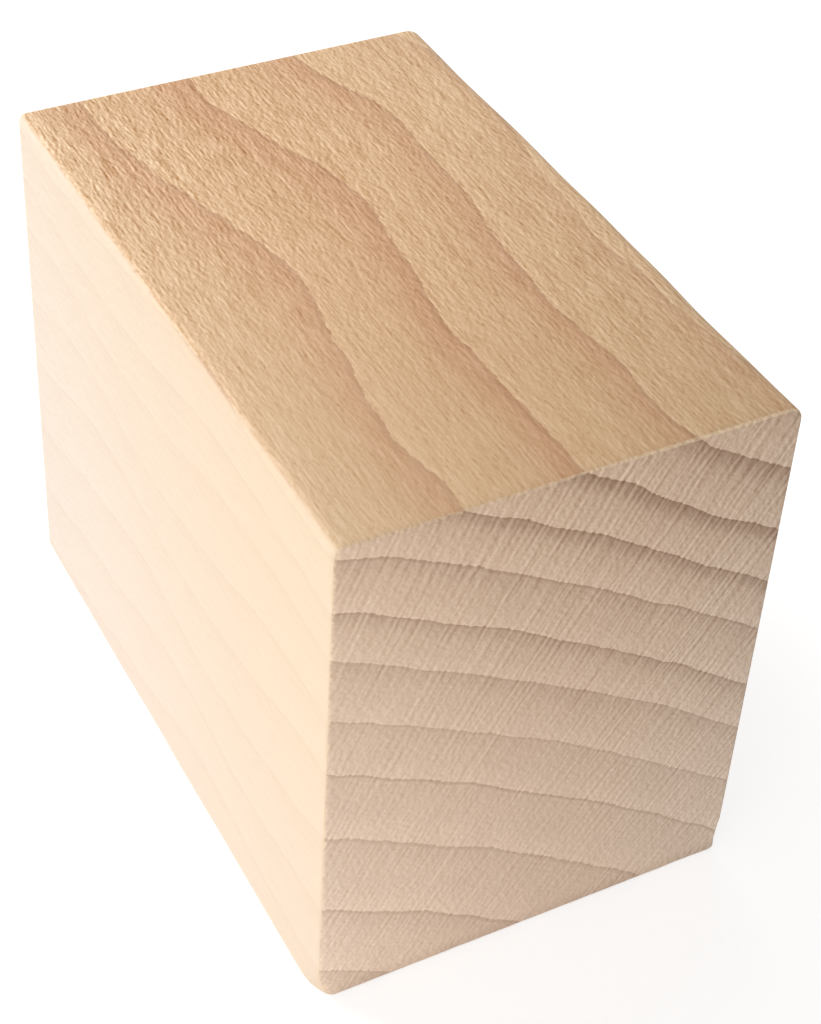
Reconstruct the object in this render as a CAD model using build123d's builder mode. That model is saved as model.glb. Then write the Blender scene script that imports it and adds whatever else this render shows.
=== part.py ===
from build123d import *
import os

# A short furniture leg, one sawn length of solid beech, lying on its side.
# Millimetres. X runs across the leg, Y along it and Z up.
# The origin is the centre of the side it lies on. The sawn end that shows faces -Y.

# Driving dimensions
width = 40.0
height = 51.0
length = 63.0

# The long edges were eased by hand, so each has its own radius, seen from the sawn end
top_left_radius = 0.9
top_right_radius = 1.6
bottom_right_radius = 0.8
bottom_left_radius = 1.0

# Narrow flat that fine paper leaves round both sawn ends
arris_flat = 0.3

# Chip where the saw left the wood, low on the right corner of the sawn end
chip_radius = 8.0
chip_depth = 0.45
chip_height = 1.6

# Corners of the section and the radius that rounds each
half_width = width / 2
corner_radii = {
    (-half_width, height): top_left_radius,
    (half_width, height): top_right_radius,
    (half_width, 0): bottom_right_radius,
    (-half_width, 0): bottom_left_radius,
}

# The sawn end that shows
near_end = -length / 2

with BuildPart() as leg:
    # The section stands in the XZ plane and runs the whole length of the leg
    with BuildSketch(Plane.XZ.offset(-near_end)) as section:
        with Locations((0, height / 2)):
            Rectangle(width, height)
        for corner, radius in corner_radii.items():
            nearest = section.vertices().sort_by_distance(corner)[0]
            fillet(nearest, radius)
    extrude(amount=-length)

    # Both ends get the same narrow flat all the way round
    ends = leg.faces().filter_by(Axis.Y)
    chamfer(ends.edges(), arris_flat)

    # The chip is a shallow hollow that opens on the sawn end and on the right side
    with Locations((half_width + chip_radius - chip_depth, near_end, chip_height)):
        Sphere(chip_radius, mode=Mode.SUBTRACT)

leg.part.label = "leg"

os.makedirs("parts", exist_ok=True)
export_step(leg.part, "parts/leg.step")
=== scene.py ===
import math

import bpy
import numpy as np
from mathutils import Matrix, Vector, noise


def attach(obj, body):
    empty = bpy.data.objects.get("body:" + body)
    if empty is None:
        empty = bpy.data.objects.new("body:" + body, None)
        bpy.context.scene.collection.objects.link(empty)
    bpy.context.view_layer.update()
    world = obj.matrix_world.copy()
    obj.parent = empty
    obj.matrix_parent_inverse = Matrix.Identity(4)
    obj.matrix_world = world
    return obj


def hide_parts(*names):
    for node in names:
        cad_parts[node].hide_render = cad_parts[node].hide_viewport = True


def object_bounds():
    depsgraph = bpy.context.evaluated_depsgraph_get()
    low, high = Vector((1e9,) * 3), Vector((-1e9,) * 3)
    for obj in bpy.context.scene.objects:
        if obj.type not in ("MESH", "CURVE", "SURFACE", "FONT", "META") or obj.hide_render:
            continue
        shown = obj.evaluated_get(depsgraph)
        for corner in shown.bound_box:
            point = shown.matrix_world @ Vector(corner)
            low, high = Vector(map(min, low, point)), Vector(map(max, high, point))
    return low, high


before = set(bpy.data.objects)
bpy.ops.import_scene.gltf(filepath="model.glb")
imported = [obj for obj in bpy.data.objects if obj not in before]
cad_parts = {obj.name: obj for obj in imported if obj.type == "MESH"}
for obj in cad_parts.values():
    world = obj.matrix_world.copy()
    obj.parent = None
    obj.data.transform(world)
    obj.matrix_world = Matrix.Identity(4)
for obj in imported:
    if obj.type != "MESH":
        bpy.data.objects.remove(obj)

# A short furniture leg of bare beech that lies on its side on a pale floor.
# X runs across the leg, Y along it and Z up. The sawn end that shows faces -Y.
# Blender works in metres. Sizes below are in millimetres and are turned into metres where they are used.

MM = 0.001
cad_low, cad_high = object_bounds()

# The leg's outline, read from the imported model
HALF_WIDTH = (cad_high.x - cad_low.x) / 2 / MM
HEIGHT = (cad_high.z - cad_low.z) / MM
HALF_LENGTH = (cad_high.y - cad_low.y) / 2 / MM
HALF_HEIGHT = HEIGHT / 2

# Radii of the long edges, seen from the sawn end that shows
TOP_LEFT_RADIUS = 0.9
TOP_RIGHT_RADIUS = 1.6
BOTTOM_RIGHT_RADIUS = 0.8
BOTTOM_LEFT_RADIUS = 1.0
BOTTOM_LEFT_NEAR_RADIUS = 0.4
LEAST_RADIUS = 0.3

# How much each radius comes and goes along its edge, as a share of itself, and over what length
RADIUS_WAVE = 0.25
RADIUS_WAVE_LENGTH = 9.0
RIGHT_EDGE_SEED = 3.1
TOP_EDGE_SEED = 5.7

# Rounding round both sawn ends, where fine paper took the arris off, and the small dents in it
ARRIS = 0.3
ARRIS_STEPS = 3
DENT_DEPTH = 0.12
DENT_SIZE = (1.7, 3.0, 1.7)
DENT_SEED = 9.0

# Chip low on the right corner of the sawn end, and how rough its floor is
CHIP_RADIUS = 8.0
CHIP_DEPTH = 0.45
CHIP_HEIGHT = 1.6
CHIP_ROUGHNESS = 0.05
CHIP_FINENESS = 1.3

# Corners of the sawn end that were knocked round. Each has its side, its level and how far the
# rounding reaches along X, Y and Z. The rounding fades with the distance from its level.
KNOCKED_CORNERS = (
    (-1, 0, (2.0, 4.4, 4.0)),
    (-1, 1, (1.1, 1.6, 2.0)),
)
KNOCK_FADE = 1.5
LEAST_FADE = 0.001

# Spacing of the mesh on the flats, and close to the edges
FLAT_STEP = 0.6
EDGE_STEP = 0.22
EDGE_ZONE = 2.64

# Growth rings, from the innermost to the bark side. Each has the distance of its outer edge from
# the pith, how deep its late wood is, and how clear the thin line at its edge is.
PITH_X = -90.0
PITH_Z = -120.0
RINGS = (
    (134.0, 0.4, 0.3), (139.4, 0.4, 0.3), (144.8, 0.4, 0.25), (150.8, 0.3, 0.45), (156.9, 0.25, 0.4),
    (163.0, 0.15, 0.55), (168.4, 0.25, 0.3), (174.4, 0.5, 0.25), (178.9, 0.75, 0.45), (184.0, 0.55, 0.55),
    (188.4, 1.1, 0.5), (193.3, 1.4, 0.5), (198.8, 1.2, 0.6), (203.8, 0.5, 0.3), (209.0, 0.5, 0.3),
)

# How far the rings swing in and out along the leg. The first number of each pair is a distance
# from the far end, the second is the swing. Inner rings swing later than outer ones.
RING_SWING = (
    (-60, 3.0), (-50, 2.35), (-42, 1.7), (-34, 0.65), (-26, 0.0), (-18, 0.75), (-10, 1.6), (-2, 1.35),
    (6, 0.6), (12, -0.25), (18, -0.75), (25, -0.6), (32, -0.1), (40, 0.2), (48, -0.15), (56, -0.25),
    (64, -1.25),
)
SWING_LAG = 1.2
SWING_LAG_FROM = 199.0

# How the rings turn away from true circles across the section
RING_TWIST = 0.0016
TWIST_LEVEL = 25.0

# Places where the rings lie further in. Each has how far, and the stretches over which that comes
# in, as what it follows, where it starts and where it is full.
RING_LIFTS = (
    (0.97, (("x", 3.0, 13.0), ("from_far", 4.0, 20.0), ("z", 30.0, 50.0))),
    (0.5, (("from_far", 13.0, 3.0),)),
    (0.7, (("x", -14.0, -20.0), ("z", 43.0, 51.0), ("from_far", 22.0, 32.0))),
)

# Small unevenness of the rings. Sway is wide and soft, and teeth are short and sharp.
SWAY = 0.9
SWAY_FINENESS = (0.2, 0.12, 0.2)
TEETH = 0.2
TEETH_FINENESS = (1.0, 0.5, 1.0)
TEETH_SCALE = 2.3
RING_RAYS = 0.12

# How one ring goes from its start at 0 to its edge at 1
LATE_WOOD_RISE = ((0.0, 0.0), (0.4, 0.02), (0.6, 0.14), (0.72, 0.38), (0.84, 0.75), (0.92, 0.92), (1.0, 1.0))
LINE_STRETCH = (0.93, 0.98)
EARLY_STRETCH = (0.5, 0.02)
RIM_STRETCH = (0.07, 0.01)

# Fineness of the grain, as changes per millimetre. The way round the pith is counted in units of
# about a millimetre, and it wanders a little.
ROUND_UNITS = 180.0
ROUND_BEND = 0.4
BEND_FINENESS = (0.35, 0.1, 0.35)
RAY_ALONG = 1.4
RAY_ROUND = 2.3
RAY_OUTWARD = 0.1
FLECK_ROUND = 4.1
FLECK_OUTWARD = 0.4
PORE_SHIFT = 7.0
FIBRE_ACROSS = 4.8
FIBRE_ALONG = 0.35
SPECK_FINENESS = 2.5
PATCH_FINENESS = (0.28, 0.04, 0.28)
RELIEF_SHIFT = 0.3

# A stretch below has where it starts and where it ends, then the values that it gives there. Where
# only two numbers stand, those values are 0 and 1. A table below says how strongly each trait of
# the wood tells. The trait "all" is the same all over, "xx" is x times x, and "zz" is the distance
# from the middle of the height times itself.

# Sides, with less relief near the sawn end and on the near left
SIDE_DEPTH = (-0.2, 1.2)
SIDE_DEPTH_POWER = 0.75
SIDE_LINE = 0.4
PATCHES = 0.4
NEAR_CALM = (-32.0, -6.0, 0.7, 1.0)
LEFT_RELIEF = (-20.0, 24.0, 0.38, 1.25)
RIGHT_RELIEF = 0.8
ACROSS_TOP = (-14.0, 18.0)
STRAND_LIFE = (0.66, 0.24)
PORES = (0.37, 0.27)
LEFT_RIM = (-16.5, -19.5)
# In SIDE_LIGHT the terms in x and y (x, y, xy, xx, yy) are painted light and shade: the top is painted
# lighter towards the far left and darker towards the near right, as the light falls across it.
SIDE_LIGHT = {"early": 0.02, "rim": 0.05, "left_rim": 0.05, "x": -0.003, "y": 0.002, "xy": 0.00008,
              "xx": 0.0001, "yy": -0.00005}
# In SIDE_GRAIN, specks, lively_strands and lively_flecks are grain marks painted with the light and shade of
# their relief
SIDE_GRAIN = {"all": 0.004, "specks": 0.1, "lively_strands": 0.75, "lively_flecks": 0.8, "pores": -0.11}
# In SIDE_HUE the terms in x and y are a painted tint of the light: warmer towards the far left, greyer
# towards the near right.
SIDE_HUE = {"all": -0.06, "x": 0.0015, "y": -0.0013, "xx": 0.00025, "yy": 0.000055}

# Left side, which is paler, and the right side, which is a little paler. The left side's paleness is partly
# the quarter-sawn wood's own
# and mostly painted light: the strong light on that side is painted into its colour. In PALE_LIGHT,
# facing_up takes some of that painted light off where the side turns up into the top.
LEFT_PALE_AND_LIT = (-0.45, -0.8, 0.0, 0.93)
RIGHT_FADE = (0.45, 0.8, 0.0, 0.3)
PALE_STRETCH = (-80.0, 30.0)
DASHES = (0.36, 0.26)
# In PALE_LIGHT, strands and flecks are grain marks painted with the light and shade of their relief
PALE_LIGHT = {"dusk": -0.024, "line": -0.03, "early": 0.01, "strands": 0.05, "flecks": 0.03, "dashes": -0.05,
              "y": 0.0006, "facing_up": -0.1}

# Sawn ends, with rougher and more streaky wood at the upper right, which is also painted darker: painted
# shade, as the light falls off across the end
END_DEPTH = (-0.2, 1.4)
END_LINE = 0.5
UPPER_RIGHT_SLOPE = 1.5
ROUGH_STRETCH = (5.0, 65.0, 0.75, 1.15)
STREAK_STRETCH = (5.0, 65.0, 0.55, 1.35)
FOOT = (1.8, 0.4)
# In END_SHADE the terms in x and z (x, z, xx, zz) are painted light and shade, lighter at the lower left and
# darker at the upper right. The trait foot makes the end darker along its bottom, next to the floor.
END_SHADE = {"all": 0.08, "early": 0.07, "rim": 0.02, "x": -0.0047, "z": -0.0049, "xx": 0.000085,
             "zz": 0.000066, "foot": -0.12}
# In END_GRAIN, streaks, rough_strands and rough_specks are grain marks painted with the light and shade of
# their relief
END_GRAIN = {"streaks": 0.42, "rough_strands": 0.12, "rough_specks": 0.4, "scratch": 0.07}
END_HUE = {"all": 0.02, "x": 0.0022, "z": -0.0013, "xx": 0.00014, "zz": -0.000034}

# Fine upright scratch on the sawn end that shows
SCRATCH_X = 13.1
SCRATCH_Z = 20.5
SCRATCH_WIDTH = (0.14, 0.04)
SCRATCH_REACH = (8.5, 6.0)

# Where the sawn end's colour takes over from the sides', and the arris that is painted bright: partly worn,
# partly a painted highlight where the edge catches the light
SAWN_STRETCH = (0.55, 0.85)
WORN_HIGHLIGHT_STRETCH = (0.2, 0.45)
WORN_HIGHLIGHT_CLEAR = (-12.0, 12.0, 0.3, 0.6)
WORN_HIGHLIGHT_SPECKS = 1.2

# Surface
RELIEF = {"strands": 0.5, "flecks": 0.5, "specks": 0.4}
RELIEF_DEPTH = 0.022
SHEEN = (0.3, 0.7, 0.56, 0.68)
SPECULAR = 0.3

# How far red, green and blue follow a change of light
SIDE_LIGHT_PULLS = (1.0, 1.22, 1.55)
SIDE_GRAIN_PULLS = (0.84, 1.22, 1.7)
PALE_PULLS = (0.6, 1.0, 1.3)
END_SHADE_PULLS = (1.0, 1.16, 1.33)
END_GRAIN_PULLS = (0.88, 1.16, 1.38)
HUE_PULLS = (0.0, 0.5, 1.0)

# Floor, in metres. What the camera sees of it glows, and glows more far from the leg.
FLOOR_HALF_SIZE = 1.6
FLOOR_SHADED = (0.55, 0.55, 0.55, 1.0)
FLOOR_GLOW = (0.2, 0.6, 0.62, 1.0)

# Lamps. Each has its name, place and size in metres, and its power in watts.
LAMPS = (
    ("lamp_behind", (-0.20, 0.30, 0.30), 0.25, 1.26),
    ("lamp_in_front", (-0.10, -0.35, 0.05), 0.20, 0.39),
    ("lamp_above", (0.0, 0.20, 0.40), 0.30, 0.29),
    ("lamp_left", (-0.15, -0.12, 0.03), 0.10, 0.10),
)
WORLD_LEVEL = 0.5
BACKDROP_LEVEL = 1.0
WHITE = (1.0, 1.0, 1.0, 1.0)

# Camera, from the photo's perspective. Its roll is in degrees, and what it clips is in metres.
CAMERA_PLACE = (-74.62, -136.68, 157.30)
CAMERA_TARGET = (2.41, -2.91, 23.97)
CAMERA_ROLL = 3.66
CAMERA_LENS = 80.45
CAMERA_SENSOR = 36.0
CAMERA_CLIP = (0.01, 10.0)


def srgb(red, green, blue):
    """A colour given as 0 to 255 on screen, as the linear colour that Blender uses."""
    def channel(value):
        value = value / 255
        if value <= 0.04045:
            return value / 12.92
        return ((value + 0.055) / 1.055) ** 2.4
    return (channel(red), channel(green), channel(blue), 1.0)


# Colours
EARLY_WOOD = srgb(211, 176, 137)
LATE_WOOD = srgb(200, 157, 121)
END_LIGHT = srgb(212, 186, 163)
END_DARK = srgb(170, 142, 120)
RING_LINE = srgb(140, 106, 80)
# Pale colours of the left side, which hold painted light as well as the wood's own paleness
PALE_NEAR = srgb(237, 215, 188)
PALE_FAR = srgb(241, 225, 210)
# Colour of the bright arris: worn wood and a painted highlight
WORN_HIGHLIGHT = srgb(232, 206, 172)
FLOOR_WHITE = srgb(230, 230, 230)


# The leg's mesh

def corner_radius(right, top, along):
    """The radius of one long edge of the section. The bottom left one grows towards the far end."""
    if top:
        return TOP_RIGHT_RADIUS if right else TOP_LEFT_RADIUS
    if right:
        return BOTTOM_RIGHT_RADIUS
    share = (along + HALF_LENGTH) / (2 * HALF_LENGTH)
    return BOTTOM_LEFT_NEAR_RADIUS + share * (BOTTOM_LEFT_RADIUS - BOTTOM_LEFT_NEAR_RADIUS)


def marks(half):
    """Mesh lines across one face from -1 to 1, closer together near both edges."""
    zone = np.linspace(half - EDGE_ZONE, half, round(EDGE_ZONE / EDGE_STEP) + 1)
    count = max(2, round(2 * (half - EDGE_ZONE) / FLAT_STEP))
    middle = np.linspace(-(half - EDGE_ZONE), half - EDGE_ZONE, count + 1)
    return np.concatenate([-zone[::-1][:-1], middle, zone[1:]]) / half


def section_point(across, up, inset, along):
    """A point of the section. across and up run from -1 to 1 and inset shrinks the outline."""
    half_x = HALF_WIDTH - inset
    half_z = HALF_HEIGHT - inset
    x = across * half_x
    z = up * half_z
    seed_x = RIGHT_EDGE_SEED * (x > 0)
    seed_z = TOP_EDGE_SEED * (z > 0)
    wobble = noise.noise(Vector((along / RADIUS_WAVE_LENGTH, seed_x, seed_z)))
    radius = corner_radius(x > 0, z > 0, along)
    radius = max(LEAST_RADIUS, radius * (1 + RADIUS_WAVE * wobble) - inset)
    inner_x = half_x - radius
    inner_z = half_z - radius
    over_x = abs(x) - inner_x
    over_z = abs(z) - inner_z
    if over_x > 0 and over_z > 0:
        # The corner of the square is drawn in onto the circle
        square = max(over_x, over_z)
        circle = math.hypot(over_x, over_z)
        x = math.copysign(inner_x + over_x * square / circle, x)
        z = math.copysign(inner_z + over_z * square / circle, z)
    return x, z


def stations():
    """Places along the leg where the section is drawn, as pairs of place and inset."""
    turns = [math.pi / 2 * step / ARRIS_STEPS for step in range(ARRIS_STEPS + 1)]
    start = [(-HALF_LENGTH + ARRIS * (1 - math.cos(turn)), ARRIS * (1 - math.sin(turn))) for turn in turns]
    plain = HALF_LENGTH - ARRIS
    count = round(2 * plain / FLAT_STEP)
    middle = [(-plain + 2 * plain * step / count, 0.0) for step in range(1, count)]
    end = [(-place, inset) for place, inset in reversed(start)]
    return start + middle + end


def dented(point, inset):
    """Small dents in the arris of both sawn ends."""
    if inset <= 0:
        return point
    x, y, z = point
    size_x, size_y, size_z = DENT_SIZE
    dent = noise.noise(Vector((x / size_x, y / size_y, z / size_z + DENT_SEED)))
    inward = DENT_DEPTH * max(0.0, dent) * inset / ARRIS
    return x, y - math.copysign(inward, y), z


def knocked(point):
    """The knocked corners of the sawn end that shows, each rounded off as a quarter of an ellipse."""
    x, y, z = point
    for side, level, (reach_x, reach_y, reach_z) in KNOCKED_CORNERS:
        fade = max(LEAST_FADE, 1 - abs(z - level * HEIGHT) / reach_z) ** KNOCK_FADE
        across = 1 + (side * x - HALF_WIDTH) / (reach_x * fade)
        along = 1 - (y + HALF_LENGTH) / (reach_y * fade)
        over = math.hypot(across, along)
        if across > 0 and along > 0 and over > 1:
            x += side * (across / over - across) * reach_x * fade
            y -= (along / over - along) * reach_y * fade
    return x, y, z


def chipped(point):
    """The chip at the right corner, as a shallow hollow with a rough floor."""
    centre = Vector((HALF_WIDTH + CHIP_RADIUS - CHIP_DEPTH, -HALF_LENGTH, CHIP_HEIGHT))
    away = Vector(point) - centre
    radius = CHIP_RADIUS + CHIP_ROUGHNESS * noise.noise(Vector(point) * CHIP_FINENESS)
    if away.length < radius:
        return tuple(centre + away.normalized() * radius)
    return point


def leg_point(across, up, place, inset, dents):
    """A point of the leg's surface, measured from the middle of the side that it lies on."""
    x, z = section_point(across, up, inset, place)
    return chipped(knocked(dented((x, place, z + HALF_HEIGHT), dents)))


def side_faces(rows, count):
    """Faces between each outline and the next one, all round."""
    faces = []
    for row in range(rows - 1):
        for column in range(count):
            after = (column + 1) % count
            low = row * count
            high = low + count
            faces.append((low + column, high + column, high + after, low + after))
    return faces


def end_faces(names, across, up, near):
    """Faces of one sawn end. names has the number of the point at each crossing of the mesh lines."""
    faces = []
    for left, right in zip(across[:-1], across[1:]):
        for lower, upper in zip(up[:-1], up[1:]):
            corners = ((left, lower), (right, lower), (right, upper), (left, upper))
            face = tuple(names[corner] for corner in corners)
            faces.append(face if near else face[::-1])
    return faces


def leg_mesh():
    """The whole leg as one closed mesh: four sides, two arrises and two end faces."""
    across = marks(HALF_WIDTH)
    up = marks(HALF_HEIGHT)
    rim = [(a, -1.0) for a in across[:-1]]
    rim += [(1.0, b) for b in up[:-1]]
    rim += [(a, 1.0) for a in across[:0:-1]]
    rim += [(-1.0, b) for b in up[:0:-1]]
    rows = stations()
    count = len(rim)

    points = [leg_point(a, b, place, inset, inset) for place, inset in rows for a, b in rim]
    faces = side_faces(len(rows), count)
    for row in (0, len(rows) - 1):
        place, inset = rows[row]
        names = {key: row * count + number for number, key in enumerate(rim)}
        for a in across[1:-1]:
            for b in up[1:-1]:
                names[(a, b)] = len(points)
                points.append(leg_point(a, b, place, inset, 0.0))
        faces += end_faces(names, across, up, row == 0)

    mesh = bpy.data.meshes.new("leg_wood")
    mesh.from_pydata([tuple(value * MM for value in point) for point in points], [], faces)
    mesh.validate()
    mesh.shade_smooth()
    return mesh


# Shader nodes

class Nodes:
    """Adds shader nodes to a material or world. Most calls return the new node's output socket."""

    def __init__(self, owner):
        owner.use_nodes = True
        self.tree = owner.node_tree
        self.tree.nodes.clear()

    def add(self, kind, **settings):
        node = self.tree.nodes.new(kind)
        for key, value in settings.items():
            setattr(node, key, value)
        return node

    def put(self, socket, value):
        """Links a socket's output to a socket, or sets a plain value on it."""
        if isinstance(value, bpy.types.NodeSocket):
            self.tree.links.new(value, socket)
        else:
            socket.default_value = value

    def made(self, kind, *values, **settings):
        """Adds a node, fills its inputs in their order and returns its first output."""
        node = self.add(kind, **settings)
        for socket, value in zip(node.inputs, values):
            self.put(socket, value)
        return node.outputs[0]

    def math(self, operation, *values):
        return self.made("ShaderNodeMath", *values, operation=operation)

    def times(self, first, second):
        return self.math("MULTIPLY", first, second)

    def less(self, first, second):
        return self.math("SUBTRACT", first, second)

    def most(self, first, second):
        return self.math("MAXIMUM", first, second)

    def total(self, *values):
        result = values[0]
        for value in values[1:]:
            result = self.math("ADD", result, value)
        return result

    def centred(self, value, amount):
        """A value from 0 to 1, moved so that its middle is nought, times an amount."""
        return self.math("MULTIPLY_ADD", value, amount, -0.5 * amount)

    def vector(self, x, y, z):
        return self.made("ShaderNodeCombineXYZ", x, y, z)

    def split(self, vector):
        node = self.add("ShaderNodeSeparateXYZ")
        self.put(node.inputs[0], vector)
        return node.outputs

    def noise(self, vector, scale=1.0, detail=2.0):
        node = self.add("ShaderNodeTexNoise")
        self.put(node.inputs["Vector"], vector)
        self.put(node.inputs["Scale"], scale)
        self.put(node.inputs["Detail"], detail)
        return node.outputs[0]

    def span(self, value, low, high, to_low=0.0, to_high=1.0, smooth=True):
        """Takes a value from one range to another and holds it at both ends."""
        kind = "SMOOTHSTEP" if smooth else "LINEAR"
        return self.made("ShaderNodeMapRange", value, low, high, to_low, to_high, interpolation_type=kind)

    def curve(self, value, pairs, kind="AUTO"):
        """A value read off a curve through pairs of numbers."""
        lows = [min(pair[side] for pair in pairs) for side in (0, 1)]
        highs = [max(pair[side] for pair in pairs) for side in (0, 1)]
        sizes = [high - low for low, high in zip(lows, highs)]
        places = [[(pair[side] - lows[side]) / sizes[side] for side in (0, 1)] for pair in pairs]
        node = self.add("ShaderNodeFloatCurve")
        node.mapping.extend = "HORIZONTAL"
        points = node.mapping.curves[0].points
        # A new curve has two points. The second waits at the end while the others are added.
        points[0].location = places[0]
        points[1].location = (1.0, places[1][1])
        for place in places[2:]:
            points.new(*place)
        for number, place in enumerate(places):
            points[number].location = place
            points[number].handle_type = kind
        node.mapping.update()
        inside = self.span(value, lows[0], highs[0], smooth=False)
        self.put(node.inputs["Value"], inside)
        return self.span(node.outputs[0], 0.0, 1.0, lows[1], highs[1], smooth=False)

    def mix(self, factor, first, second):
        """One colour turned into another by a share from 0 to 1."""
        node = self.add("ShaderNodeMix", data_type="RGBA")
        for name, value in (("Factor_Float", factor), ("A_Color", first), ("B_Color", second)):
            socket = next(s for s in node.inputs if s.identifier == name)
            self.put(socket, value)
        return next(s for s in node.outputs if s.identifier == "Result_Color")

    def lit(self, colour, change, pulls):
        """A colour made lighter or darker by a share of itself. pulls is how far each channel follows."""
        channels = [self.math("MULTIPLY_ADD", change, pull, 1.0) for pull in pulls]
        return self.made("ShaderNodeVectorMath", colour, self.vector(*channels), operation="MULTIPLY")

    def bump(self, height, depth):
        """Relief of a height from 0 to 1 that stands for depth millimetres."""
        node = self.add("ShaderNodeBump")
        self.put(node.inputs["Height"], height)
        self.put(node.inputs["Distance"], depth * MM)
        return node.outputs[0]


# The wood. Its traits are kept by name in one dictionary, so that the tables above can call on them.

def soft_noise(n, wood, fineness, scale=1.0, detail=2.0):
    """Noise over the piece. fineness is how fast it changes along X, Y and Z."""
    axes = [n.times(wood[axis], speed) for axis, speed in zip("xyz", fineness)]
    return n.noise(n.vector(*axes), scale, detail)


def sum_up(n, wood, table):
    """The traits of the wood that a table names, each times its strength, added up."""
    return n.total(*(n.times(wood[name], strength) for name, strength in table.items()))


def add_places(n, wood):
    """Where a point of the wood lies: its place, its distance from the pith and its way round it."""
    coordinates = n.add("ShaderNodeTexCoord").outputs
    scaled = n.made("ShaderNodeVectorMath", coordinates["Object"], (1 / MM,) * 3, operation="MULTIPLY")
    x, y, z = n.split(scaled)
    wood.update(x=x, y=y, z=z, all=1.0)
    above_middle = n.less(z, HALF_HEIGHT)
    wood["xx"] = n.times(x, x)
    wood["yy"] = n.times(y, y)
    wood["zz"] = n.times(above_middle, above_middle)
    wood["xy"] = n.times(x, y)
    wood["from_far"] = n.less(HALF_LENGTH, y)

    from_pith_x = n.less(x, PITH_X)
    from_pith_z = n.less(z, PITH_Z)
    squares = n.total(n.times(from_pith_x, from_pith_x), n.times(from_pith_z, from_pith_z))
    angle = n.math("ARCTAN2", from_pith_x, from_pith_z)
    bend = soft_noise(n, wood, BEND_FINENESS)
    wood["radius"] = n.math("SQRT", squares)
    wood["round"] = n.total(n.times(angle, ROUND_UNITS), n.times(bend, ROUND_BEND))

    facing = n.split(coordinates["Normal"])
    wood["right"] = facing[0]
    wood["up"] = facing[2]
    wood["facing_up"] = n.most(facing[2], 0.0)
    wood["toward_end"] = n.math("ABSOLUTE", facing[1])


def ray_field(n, wood, fineness, outward, shift=0.0):
    """Thin blades that reach out from the pith: streaks on a sawn end, short spindles on a side."""
    way_round = n.math("MULTIPLY_ADD", wood["round"], fineness, shift)
    along = n.times(wood["y"], RAY_ALONG)
    return n.noise(n.vector(way_round, along, n.times(wood["radius"], outward)), detail=1.0)


def fibre_field(n, wood, shift=0.0):
    """Fine strands that run along the leg."""
    across = n.math("MULTIPLY_ADD", wood["x"], FIBRE_ACROSS, shift)
    up = n.math("MULTIPLY_ADD", wood["z"], FIBRE_ACROSS, shift)
    return n.noise(n.vector(across, n.times(wood["y"], FIBRE_ALONG), up), detail=1.5)


def speck_field(n, wood, shift=0.0):
    """Small grains that lie every way."""
    across = n.math("MULTIPLY_ADD", wood["x"], SPECK_FINENESS, shift)
    along = n.times(wood["y"], SPECK_FINENESS)
    up = n.times(wood["z"], SPECK_FINENESS)
    return n.noise(n.vector(across, along, up), detail=1.0)


def raised(n, field, *settings):
    """A field as low relief: its lit sides less its shaded sides, about nought. Where it goes into the
    colour, it paints the light and shade of that relief onto the grain.
    """
    return n.less(field(n, *settings, RELIEF_SHIFT), field(n, *settings, -RELIEF_SHIFT))


def add_grain(n, wood):
    """Fibres, rays, flecks, specks and pores."""
    fibres = fibre_field(n, wood)
    wood["fibres"] = fibres
    wood["dashes"] = n.span(fibres, *DASHES)
    wood["strands"] = raised(n, fibre_field, wood)
    wood["flecks"] = raised(n, ray_field, wood, FLECK_ROUND, FLECK_OUTWARD)
    wood["rays"] = raised(n, ray_field, wood, RAY_ROUND, RAY_OUTWARD)
    wood["specks"] = raised(n, speck_field, wood)
    wood["pores"] = n.span(ray_field(n, wood, FLECK_ROUND, FLECK_OUTWARD, PORE_SHIFT), *PORES)
    wood["patches"] = n.centred(soft_noise(n, wood, PATCH_FINENESS), PATCHES)


def ring_lifts(n, wood):
    """How far the rings lie further in at the places in RING_LIFTS."""
    lifts = []
    for amount, stretches in RING_LIFTS:
        lift = amount
        for name, start, full in stretches:
            lift = n.times(lift, n.span(wood[name], start, full))
        lifts.append(lift)
    return n.total(*lifts)


def ring_radius(n, wood):
    """The distance from the pith, with all the ways in which the rings stray from true circles."""
    twist = n.times(n.times(wood["x"], RING_TWIST), n.less(wood["z"], TWIST_LEVEL))
    radius = n.total(wood["radius"], twist)
    lag = n.times(n.less(SWING_LAG_FROM, radius), SWING_LAG)
    swing = n.curve(n.less(wood["from_far"], lag), RING_SWING)
    sway = n.centred(soft_noise(n, wood, SWAY_FINENESS), SWAY)
    teeth = n.centred(soft_noise(n, wood, TEETH_FINENESS, TEETH_SCALE, 1.0), TEETH)
    return n.total(radius, swing, ring_lifts(n, wood), sway, teeth, n.times(wood["rays"], RING_RAYS))


def add_rings(n, wood):
    """Dark late wood, the thin line that ends each ring, and the fresh early wood behind the line."""
    edges = [(edge, number) for number, (edge, _, _) in enumerate(RINGS)]
    # A ring lies inside its edge, so its number is one less than its edge's
    depths = [(number - 1, depth) for number, (_, depth, _) in enumerate(RINGS)]
    lines = [(number - 1, line) for number, (_, _, line) in enumerate(RINGS)]
    count = n.curve(ring_radius(n, wood), edges, kind="VECTOR")
    ring = n.math("FLOOR", count)
    part = n.less(count, ring)
    late = n.curve(part, LATE_WOOD_RISE)
    wood["dusk"] = late
    wood["late"] = n.times(late, n.curve(ring, depths, kind="VECTOR"))
    wood["line"] = n.times(n.span(part, *LINE_STRETCH), n.curve(ring, lines, kind="VECTOR"))
    wood["early"] = n.span(part, *EARLY_STRETCH)
    wood["rim"] = n.span(part, *RIM_STRETCH)


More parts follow.
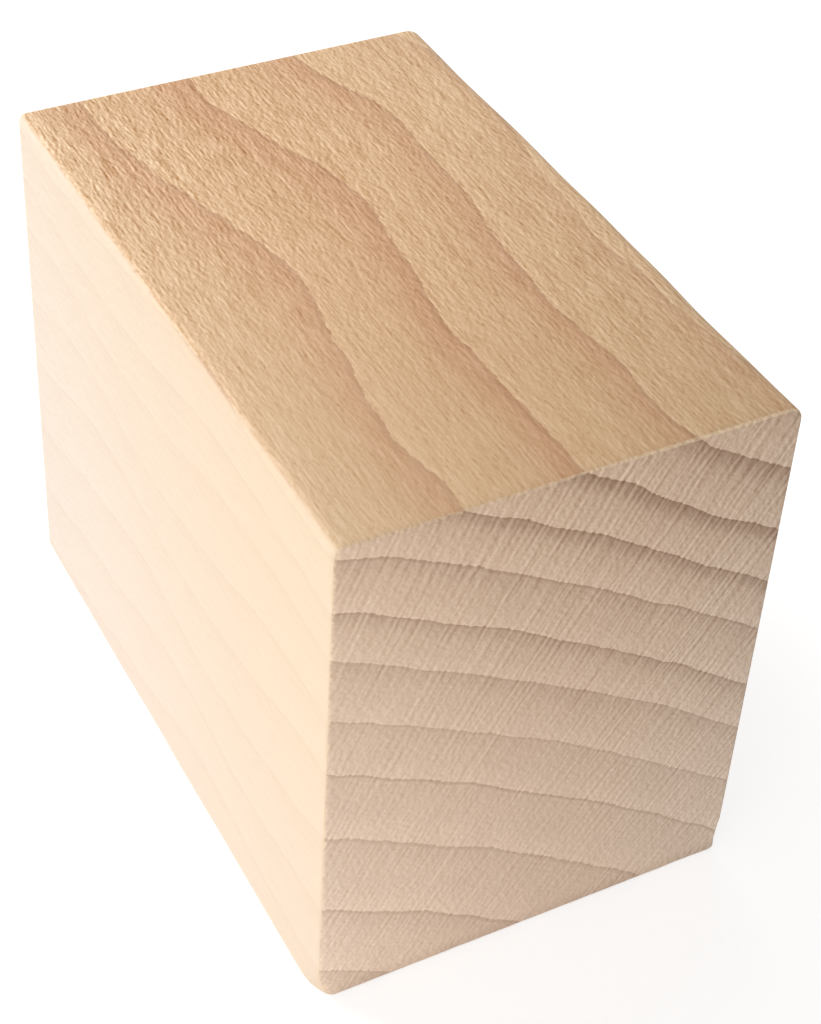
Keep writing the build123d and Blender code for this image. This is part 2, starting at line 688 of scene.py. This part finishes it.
def side_colour(n, wood):
    """The top and the right side."""
    left_relief = n.span(wood["y"], *LEFT_RELIEF)
    across_top = n.span(wood["x"], *ACROSS_TOP)
    lively = n.math("MULTIPLY_ADD", across_top, n.less(RIGHT_RELIEF, left_relief), left_relief)
    lively = n.times(lively, wood["calm"])
    wood["lively_strands"] = n.times(wood["strands"], n.math("MULTIPLY_ADD", lively, *STRAND_LIFE))
    wood["lively_flecks"] = n.times(wood["flecks"], lively)
    wood["left_rim"] = n.span(wood["x"], *LEFT_RIM)
    depth = n.total(n.math("POWER", wood["late"], SIDE_DEPTH_POWER), wood["patches"])
    colour = n.mix(n.span(depth, *SIDE_DEPTH, smooth=False), EARLY_WOOD, LATE_WOOD)
    colour = n.mix(n.times(wood["line"], SIDE_LINE), colour, RING_LINE)
    colour = n.lit(colour, sum_up(n, wood, SIDE_LIGHT), SIDE_LIGHT_PULLS)
    colour = n.lit(colour, sum_up(n, wood, SIDE_GRAIN), SIDE_GRAIN_PULLS)
    return n.lit(colour, sum_up(n, wood, SIDE_HUE), HUE_PULLS)


def pale_colour(n, wood):
    """The left side, near white: partly the quarter-sawn wood's own paleness and mostly painted light, the
    strong light on that side painted into its colour.
    """
    colour = n.mix(n.span(n.less(wood["y"], wood["z"]), *PALE_STRETCH), PALE_NEAR, PALE_FAR)
    return n.lit(colour, sum_up(n, wood, PALE_LIGHT), PALE_PULLS)


def scratch(n, wood):
    """One fine upright line on the sawn end that shows."""
    from_line = n.math("ABSOLUTE", n.less(wood["x"], SCRATCH_X))
    from_middle = n.math("ABSOLUTE", n.less(wood["z"], SCRATCH_Z))
    line = n.times(n.span(from_line, *SCRATCH_WIDTH), n.span(from_middle, *SCRATCH_REACH))
    return n.times(line, n.math("LESS_THAN", wood["y"], 0.0))


def end_colour(n, wood):
    """Both sawn ends."""
    upper_right = n.total(n.times(wood["x"], UPPER_RIGHT_SLOPE), wood["z"])
    rough = n.span(upper_right, *ROUGH_STRETCH)
    streaky = n.total(n.span(upper_right, *STREAK_STRETCH), wood["late"])
    wood["streaks"] = n.times(wood["rays"], streaky)
    wood["rough_strands"] = n.times(wood["strands"], rough)
    wood["rough_specks"] = n.times(wood["specks"], rough)
    wood["scratch"] = scratch(n, wood)
    wood["foot"] = n.span(wood["z"], *FOOT)
    depth = n.total(wood["late"], wood["patches"])
    colour = n.mix(n.span(depth, *END_DEPTH, smooth=False), END_LIGHT, END_DARK)
    colour = n.mix(n.times(wood["line"], END_LINE), colour, RING_LINE)
    colour = n.lit(colour, sum_up(n, wood, END_SHADE), END_SHADE_PULLS)
    colour = n.lit(colour, sum_up(n, wood, END_GRAIN), END_GRAIN_PULLS)
    return n.lit(colour, sum_up(n, wood, END_HUE), HUE_PULLS)


def worn_highlight_share(n, wood):
    """How much the arris between the sawn end and the top or left side is painted bright: partly wear,
    partly a painted highlight on the edges that face the light.
    """
    turned = n.most(wood["up"], n.times(wood["right"], -1.0))
    worn_highlight = n.span(n.times(wood["toward_end"], turned), *WORN_HIGHLIGHT_STRETCH)
    clear = n.total(n.span(wood["x"], *WORN_HIGHLIGHT_CLEAR), n.times(wood["specks"], WORN_HIGHLIGHT_SPECKS))
    return n.times(worn_highlight, clear)


def leg_material():
    """Bare beech: growth rings, rays and fibres that run through the whole piece."""
    material = bpy.data.materials.new("beech")
    n = Nodes(material)
    wood = {}
    add_places(n, wood)
    add_grain(n, wood)
    add_rings(n, wood)
    wood["calm"] = n.span(wood["y"], *NEAR_CALM)

    # The pale colour on the left side is mostly painted light; the right side takes a little of it
    pale_and_lit = n.most(n.span(wood["right"], *LEFT_PALE_AND_LIT), n.span(wood["right"], *RIGHT_FADE))
    colour = n.mix(pale_and_lit, side_colour(n, wood), pale_colour(n, wood))
    colour = n.mix(n.span(wood["toward_end"], *SAWN_STRETCH), colour, end_colour(n, wood))
    # The arris is painted bright: partly wear, partly a painted highlight
    colour = n.mix(worn_highlight_share(n, wood), colour, WORN_HIGHLIGHT)

    shader = n.add("ShaderNodeBsdfPrincipled")
    n.put(shader.inputs["Base Color"], colour)
    n.put(shader.inputs["Roughness"], n.span(wood["fibres"], *SHEEN))
    n.put(shader.inputs["Normal"], n.bump(n.times(sum_up(n, wood, RELIEF), wood["calm"]), RELIEF_DEPTH))
    n.put(shader.inputs["Specular IOR Level"], SPECULAR)
    out = n.add("ShaderNodeOutputMaterial")
    n.put(out.inputs["Surface"], shader.outputs[0])
    return material


# Floor, light and camera

def floor_material():
    """A pale floor that the camera sees as white, with the leg's soft shadow left on it."""
    material = bpy.data.materials.new("floor_white")
    n = Nodes(material)
    seen = n.add("ShaderNodeLightPath").outputs["Is Camera Ray"]
    plain = n.made("ShaderNodeBsdfDiffuse", FLOOR_WHITE)
    shaded = n.made("ShaderNodeBsdfDiffuse", FLOOR_SHADED)
    x, y, _ = n.split(n.add("ShaderNodeTexCoord").outputs["Object"])
    away = n.math("SQRT", n.total(n.times(x, x), n.times(y, y)))
    glow = n.made("ShaderNodeEmission", WHITE, n.span(away, *FLOOR_GLOW))
    both = n.made("ShaderNodeAddShader", shaded, glow)
    out = n.add("ShaderNodeOutputMaterial")
    n.put(out.inputs["Surface"], n.made("ShaderNodeMixShader", seen, plain, both))
    return material


def make_floor():
    mesh = bpy.data.meshes.new("floor")
    size = FLOOR_HALF_SIZE
    corners = ((-size, -size), (size, -size), (size, size), (-size, size))
    mesh.from_pydata([(x, y, cad_low.z) for x, y in corners], [], [(0, 1, 2, 3)])
    mesh.materials.append(floor_material())
    floor = bpy.data.objects.new("floor", mesh)
    bpy.context.collection.objects.link(floor)


def make_world():
    """Even light all round. The camera and shiny or clear things see it as plain white."""
    world = bpy.data.worlds.new("studio")
    bpy.context.scene.world = world
    n = Nodes(world)
    path = n.add("ShaderNodeLightPath").outputs
    seen = n.most(n.most(path["Is Camera Ray"], path["Is Glossy Ray"]), path["Is Transmission Ray"])
    lamp = n.made("ShaderNodeBackground", WHITE, WORLD_LEVEL)
    backdrop = n.made("ShaderNodeBackground", WHITE, BACKDROP_LEVEL)
    out = n.add("ShaderNodeOutputWorld")
    n.put(out.inputs["Surface"], n.made("ShaderNodeMixShader", seen, lamp, backdrop))


def soft_box(name, place, size, watts):
    """A square lamp that looks at the middle of the leg and is not seen itself."""
    data = bpy.data.lights.new(name, "AREA")
    data.shape = "SQUARE"
    data.size = size
    data.energy = watts
    lamp = bpy.data.objects.new(name, data)
    bpy.context.collection.objects.link(lamp)
    target = Vector((0.0, 0.0, HALF_HEIGHT * MM))
    lamp.location = Vector(place)
    lamp.visible_camera = False
    lamp.rotation_euler = (target - lamp.location).to_track_quat("-Z", "Y").to_euler()


def make_camera():
    data = bpy.data.cameras.new("camera")
    data.lens = CAMERA_LENS
    data.sensor_width = CAMERA_SENSOR
    data.clip_start, data.clip_end = CAMERA_CLIP
    camera = bpy.data.objects.new("camera", data)
    bpy.context.collection.objects.link(camera)
    place = Vector(CAMERA_PLACE) * MM
    target = Vector(CAMERA_TARGET) * MM
    level = (target - place).to_track_quat("-Z", "Y").to_matrix().to_4x4()
    roll = Matrix.Rotation(math.radians(CAMERA_ROLL), 4, "Z")
    camera.matrix_world = Matrix.Translation(place) @ level @ roll
    bpy.context.scene.camera = camera


bpy.context.scene.view_settings.view_transform = "Standard"

leg = bpy.data.objects.new("leg_wood", leg_mesh())
bpy.context.collection.objects.link(leg)
leg.data.materials.append(leg_material())
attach(leg, "root")
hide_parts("leg")

make_floor()
make_world()
for settings in LAMPS:
    soft_box(*settings)
make_camera()
